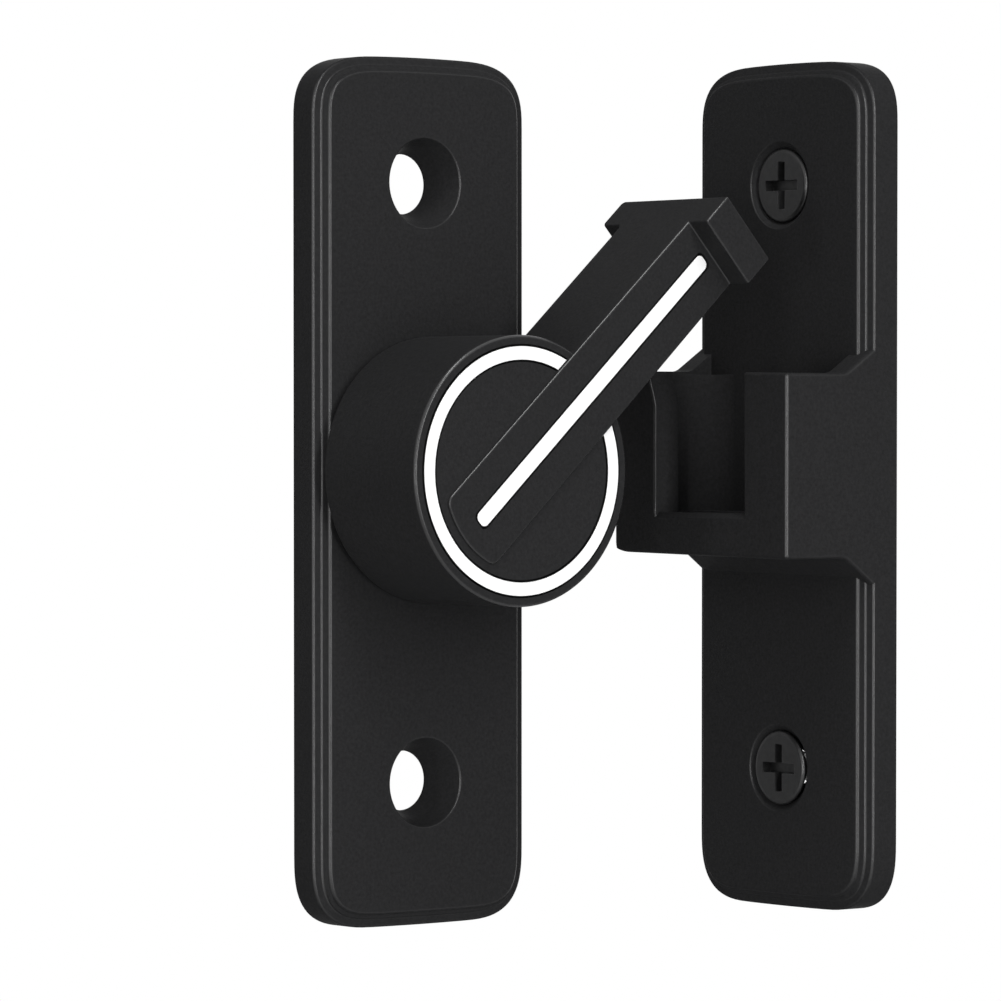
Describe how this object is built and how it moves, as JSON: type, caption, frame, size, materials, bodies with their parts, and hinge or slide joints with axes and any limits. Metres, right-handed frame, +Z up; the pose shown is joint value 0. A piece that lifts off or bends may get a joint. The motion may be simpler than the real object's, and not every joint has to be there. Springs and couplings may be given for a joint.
{
  "type": "barn door latch",
  "caption": "Right-angle flip latch for a sliding barn door: a plate with a turning knob and arm, and a catch plate whose T slot takes the arm's head.",
  "frame": {"origin": "on the knob's axis, at the back face of the lock plate, where the plate meets the door frame", "axes": "+Z up along both plates, +Y into the surface that the lock plate is screwed to, +X from the lock plate towards the catch, which is the way the catch plate's back faces"},
  "size_m": [0.0728, 0.0302, 0.0955],
  "materials": {
    "black_casting": "fine black powder coat, satin",
    "white_inlay": "matte white",
    "zinc_plate": "zinc plated",
    "spring_steel": "bright spring steel",
    "nylon": "natural nylon",
    "black_screw": "blackened steel, satin"
  },
  "bodies": {
    "base": {"lock_plate": "black_casting", "pivot_bush": "nylon", "catch_plate": "black_casting", "catch_screw_upper": "black_screw", "catch_screw_lower": "black_screw"},
    "lever": {"lever": "black_casting", "ring_inlay": "white_inlay", "stripe_inlay": "white_inlay", "wave_washer": "spring_steel", "retaining_washer": "zinc_plate", "pivot_screw": "zinc_plate", "detent_ball_1": "zinc_plate", "detent_ball_2": "zinc_plate", "detent_spring_1": "spring_steel", "detent_spring_2": "spring_steel"}
  },
  "joints": [
    {"name": "lever_turn", "type": "hinge", "parent": "base", "child": "lever", "pos_m": [0, 0, 0], "axis": [0, -1, 0], "range_deg": [-42.2, 137.8]}
  ]
}
